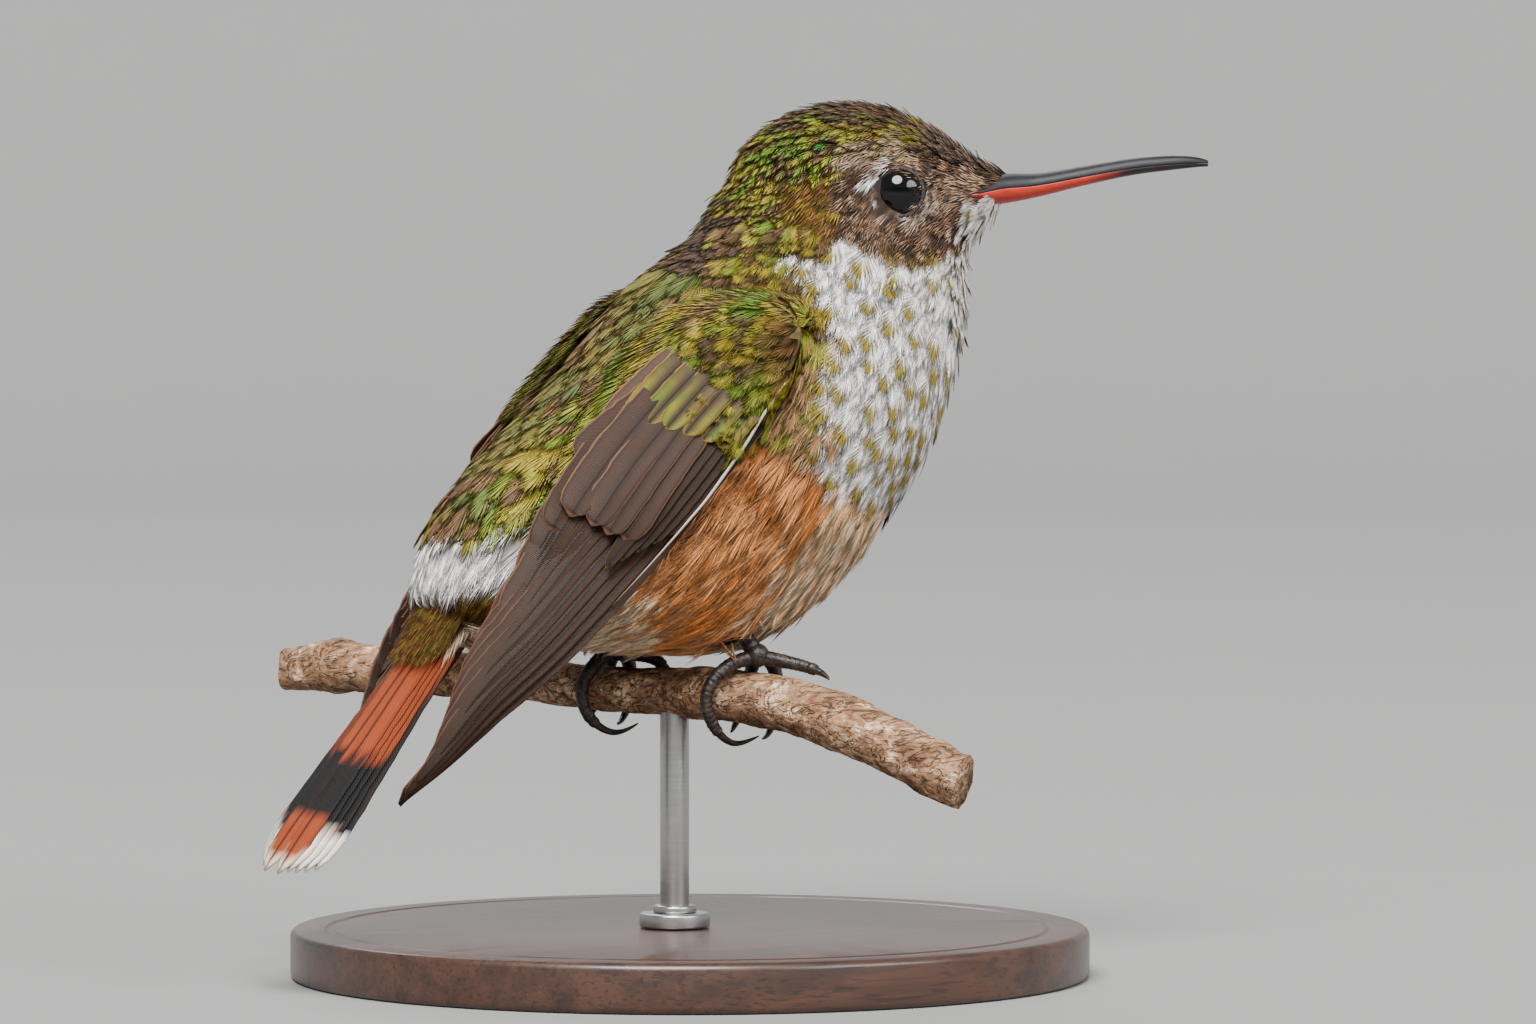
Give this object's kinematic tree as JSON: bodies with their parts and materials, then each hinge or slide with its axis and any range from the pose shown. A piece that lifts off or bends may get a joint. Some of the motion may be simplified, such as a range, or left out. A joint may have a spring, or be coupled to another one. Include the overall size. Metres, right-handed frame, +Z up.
{
  "type": "small perched hummingbird on a display stand",
  "caption": "Life-size female coquette hummingbird gripping a cut twig, head turned to its right, held by a round base and a short rod.",
  "frame": {"origin": "centre of the stand base's underside", "axes": "+Z up, +X the way the bird's trunk faces, +Y the bird's left; the head is turned 30 degrees towards -Y"},
  "size_m": [0.0627, 0.052, 0.0572],
  "materials": {
    "green_plumage": "gold-green iridescent body feathers over dusky grey-brown",
    "pale_plumage": "soft matt feathers: green-gold back, white throat with olive spots, cinnamon flanks, buff belly, white rump band",
    "wing_feather": "dusky brown flight feathers with a low satin sheen and thin buff edges",
    "tail_feather": "rufous tail feathers with a black band and pale tips, satin",
    "horn_black": "polished black keratin of the upper bill",
    "horn_red": "red keratin of the lower bill, darkening to its tip",
    "eye_dark": "wet, mirror-bright dark brown eye",
    "foot_scale": "blackish scaled skin and claws",
    "bark": "dry grey-tan bark with pale patches",
    "stand_wood": "dark stained turned wood, satin varnish",
    "stand_steel": "fine brushed stainless rod"
  },
  "bodies": {
    "root": {"head": "green_plumage", "neck": "green_plumage", "trunk": "pale_plumage", "tail": "tail_feather", "wing_left": "wing_feather", "wing_right": "wing_feather", "eye_left": "eye_dark", "eye_right": "eye_dark", "bill_upper": "horn_black", "bill_lower": "horn_red", "leg_left": "foot_scale", "leg_right": "foot_scale", "perch_twig": "bark", "stand_base": "stand_wood", "stand_rod": "stand_steel"}
  },
  "joints": []
}
